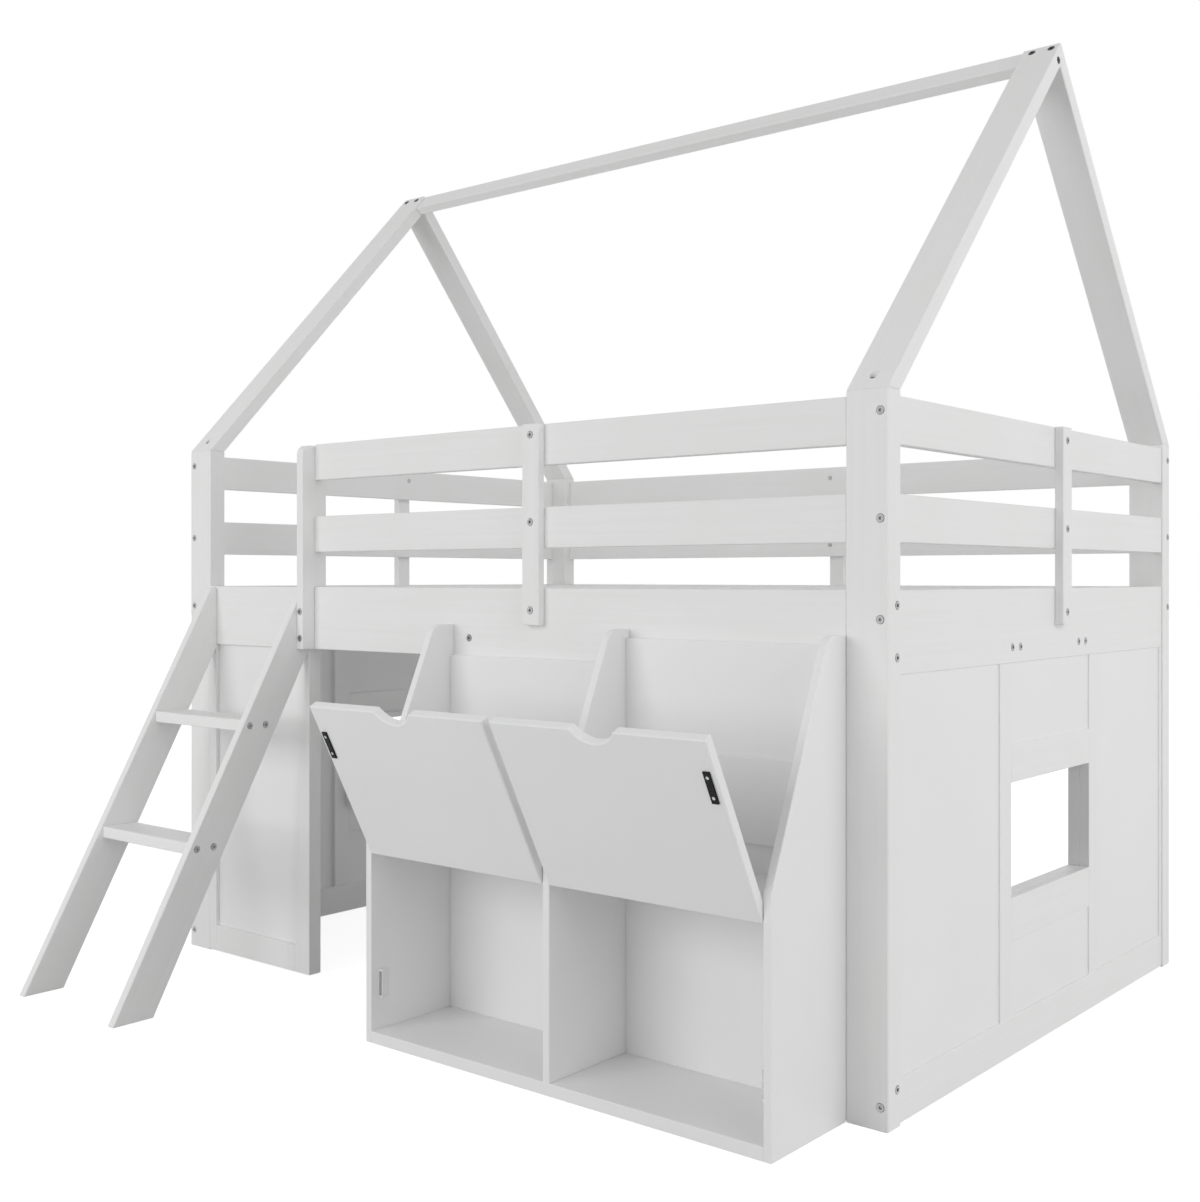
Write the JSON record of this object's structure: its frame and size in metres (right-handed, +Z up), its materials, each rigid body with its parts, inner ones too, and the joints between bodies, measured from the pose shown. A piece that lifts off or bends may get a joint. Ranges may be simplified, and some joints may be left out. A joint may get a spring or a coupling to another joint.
{
  "type": "loft bed",
  "caption": "House-shaped loft bed with a pitched roof frame, guard rails, leaning ladder, walled room with windows below, and a front cabinet of flap bins over open cubbies.",
  "frame": {"origin": "on the floor, under the middle of the overall box", "axes": "X along the bed from the ladder end to the cabinet end, Y from the front to the back, Z up"},
  "size_m": [2.0312, 1.9549, 2.0614],
  "materials": {
    "white_painted_wood": "satin white paint",
    "zinc_steel": "zinc plated",
    "black_steel": "black",
    "white_plastic": "moulded white"
  },
  "bodies": {
    "bed_frame": {"batten_back": "white_painted_wood", "batten_front": "white_painted_wood", "batten_left": "white_painted_wood", "batten_right": "white_painted_wood", "bed_rail_back": "white_painted_wood", "bed_rail_front": "white_painted_wood", "bed_rail_left": "white_painted_wood", "bed_rail_right": "white_painted_wood", "bin_shelf_left": "white_painted_wood", "bin_shelf_right": "white_painted_wood", "bolts_back": "zinc_steel", "bolts_ends": "zinc_steel", "bolts_front": "zinc_steel", "bolts_roof": "zinc_steel", "cabinet_back_left": "white_painted_wood", "cabinet_back_right": "white_painted_wood", "cabinet_base": "white_painted_wood", "cabinet_divider": "white_painted_wood", "cabinet_side_left": "white_painted_wood", "cabinet_side_right": "white_painted_wood", "catches": "white_plastic", "front_wall_frame": "white_painted_wood", "front_wall_infill": "white_painted_wood", "guard_post": "white_painted_wood", "guard_rails_back": "white_painted_wood", "guard_rails_front": "white_painted_wood", "guard_rails_left": "white_painted_wood", "guard_rails_right": "white_painted_wood", "ledger_back": "white_painted_wood", "ledger_front": "white_painted_wood", "mattress_slats": "white_painted_wood", "pivot_pins": "zinc_steel", "post_back_left": "white_painted_wood", "post_back_right": "white_painted_wood", "post_front_left": "white_painted_wood", "post_front_right": "white_painted_wood", "rafter_back_left": "white_painted_wood", "rafter_back_right": "white_painted_wood", "rafter_front_left": "white_painted_wood", "rafter_front_right": "white_painted_wood", "ridge_board": "white_painted_wood", "spine_beam": "white_painted_wood", "stringer_left": "white_painted_wood", "stringer_right": "white_painted_wood", "tread_high": "white_painted_wood", "tread_low": "white_painted_wood", "wall_infill_left": "white_painted_wood", "wall_infill_right": "white_painted_wood", "wall_rails_left": "white_painted_wood", "wall_rails_right": "white_painted_wood", "wall_stiles_left": "white_painted_wood", "wall_stiles_right": "white_painted_wood", "window_lining_left": "white_painted_wood", "window_lining_right": "white_painted_wood"},
    "flap_left": {"flap_left": "white_painted_wood", "strike_plate_left": "black_steel"},
    "flap_right": {"flap_right": "white_painted_wood", "strike_plate_right": "black_steel"}
  },
  "joints": [
    {"name": "flap_left_hinge", "type": "hinge", "parent": "bed_frame", "child": "flap_left", "pos_m": [0.191, -0.6907, 0.3959], "axis": [1, 0, 0], "range_deg": [-50.5, 152.8]},
    {"name": "flap_right_hinge", "type": "hinge", "parent": "bed_frame", "child": "flap_right", "pos_m": [0.671, -0.6907, 0.3959], "axis": [1, 0, 0], "range_deg": [-50.5, 152.8]}
  ]
}
